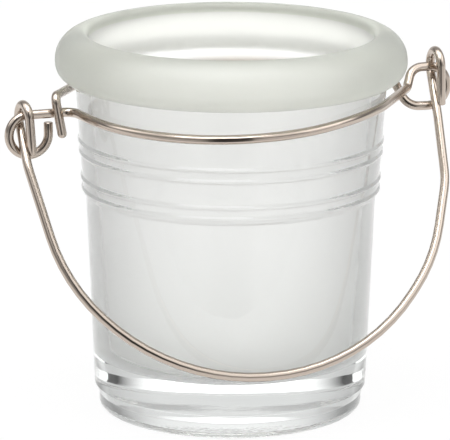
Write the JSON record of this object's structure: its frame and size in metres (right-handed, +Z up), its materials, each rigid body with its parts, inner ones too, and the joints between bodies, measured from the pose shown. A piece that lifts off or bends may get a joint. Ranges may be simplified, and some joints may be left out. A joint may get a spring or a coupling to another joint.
{
  "type": "glass votive holder",
  "caption": "Small frosted glass pail for a votive candle, with a rolled rim, raised bands, a wire ring round the neck and a swinging wire handle.",
  "frame": {"origin": "centre of the underside of the glass, on the surface it stands on", "axes": "+Z up along the axis of the glass, +X towards the full eye of the neck ring, -Y towards the front, where the handle leans"},
  "size_m": [0.1064, 0.08, 0.0876],
  "materials": {
    "frosted_glass": "satin inside and on the rim, glossy outside, clear thick base",
    "wire": "warm satin, drawn wire"
  },
  "bodies": {
    "holder": {"glass_cup": "frosted_glass", "neck_wire": "wire"},
    "handle": {"bail": "wire"}
  },
  "joints": [
    {"name": "handle_swing", "type": "hinge", "parent": "holder", "child": "handle", "pos_m": [-0.0492, 0, 0.07076], "axis": [-0.9984, 0, -0.0567], "range_deg": [0, 301]}
  ]
}
